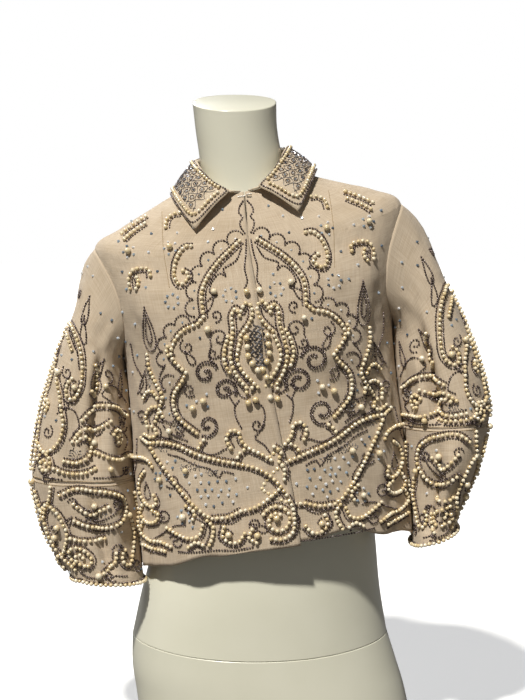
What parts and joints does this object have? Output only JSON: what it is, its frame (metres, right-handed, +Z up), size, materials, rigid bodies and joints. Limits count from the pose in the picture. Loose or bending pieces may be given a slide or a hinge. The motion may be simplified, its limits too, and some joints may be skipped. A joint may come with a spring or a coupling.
{
  "type": "beaded jacket on a dress form",
  "caption": "Short beaded linen jacket with bell sleeves and a small turned-down collar, standing on a limbless dress form.",
  "frame": {"origin": "on the surface that the form stands on, below the middle of the part's box", "axes": "+Z up, +Y from the front of the jacket to its back, +X to the viewer's right, which is the wearer's left"},
  "size_m": [0.61, 0.267, 0.8536],
  "materials": {
    "cloth": "matt linen weave, light beige",
    "pearl": "strings of cream pearls",
    "form": "glossy off-white shell",
    "steel": "bright drawn wire"
  },
  "bodies": {
    "root": {"back": "cloth", "collar": "cloth", "form_hips": "form", "form_torso": "form", "front_left": "cloth", "front_right": "cloth", "neck_eye": "steel", "neck_hook": "steel", "sleeve_left_lower": "cloth", "sleeve_left_upper": "cloth", "sleeve_right_lower": "cloth", "sleeve_right_upper": "cloth", "strand_arch_bl": "pearl", "strand_arch_br": "pearl", "strand_arch_l": "pearl", "strand_arch_r": "pearl", "strand_back_scroll_l": "pearl", "strand_back_scroll_r": "pearl", "strand_bowl_bl": "pearl", "strand_bowl_br": "pearl", "strand_bowl_l": "pearl", "strand_bowl_r": "pearl", "strand_collar_l": "pearl", "strand_collar_r": "pearl", "strand_hem_hook_l": "pearl", "strand_hem_hook_r": "pearl", "strand_hem_wave_l": "pearl", "strand_hem_wave_r": "pearl", "strand_leaf_foot_l": "pearl", "strand_leaf_foot_r": "pearl", "strand_leaf_side_bl": "pearl", "strand_leaf_side_br": "pearl", "strand_leaf_side_l": "pearl", "strand_leaf_side_r": "pearl", "strand_leaf_top_bl": "pearl", "strand_leaf_top_br": "pearl", "strand_leaf_top_l": "pearl", "strand_leaf_top_r": "pearl", "strand_lobe_bl": "pearl", "strand_lobe_br": "pearl", "strand_lobe_l": "pearl", "strand_lobe_r": "pearl", "strand_lower_scroll_l": "pearl", "strand_lower_scroll_r": "pearl", "strand_lower_wave_l": "pearl", "strand_lower_wave_r": "pearl", "strand_outer_wave_l": "pearl", "strand_outer_wave_r": "pearl", "strand_side_scroll_l": "pearl", "strand_side_scroll_r": "pearl", "strand_spiral_r": "pearl", "strand_upper_scroll_l": "pearl", "strand_upper_scroll_r": "pearl", "strand_upper_wave_l": "pearl", "strand_upper_wave_r": "pearl", "strand_vase_l": "pearl", "strand_vase_r": "pearl"}
  },
  "joints": []
}
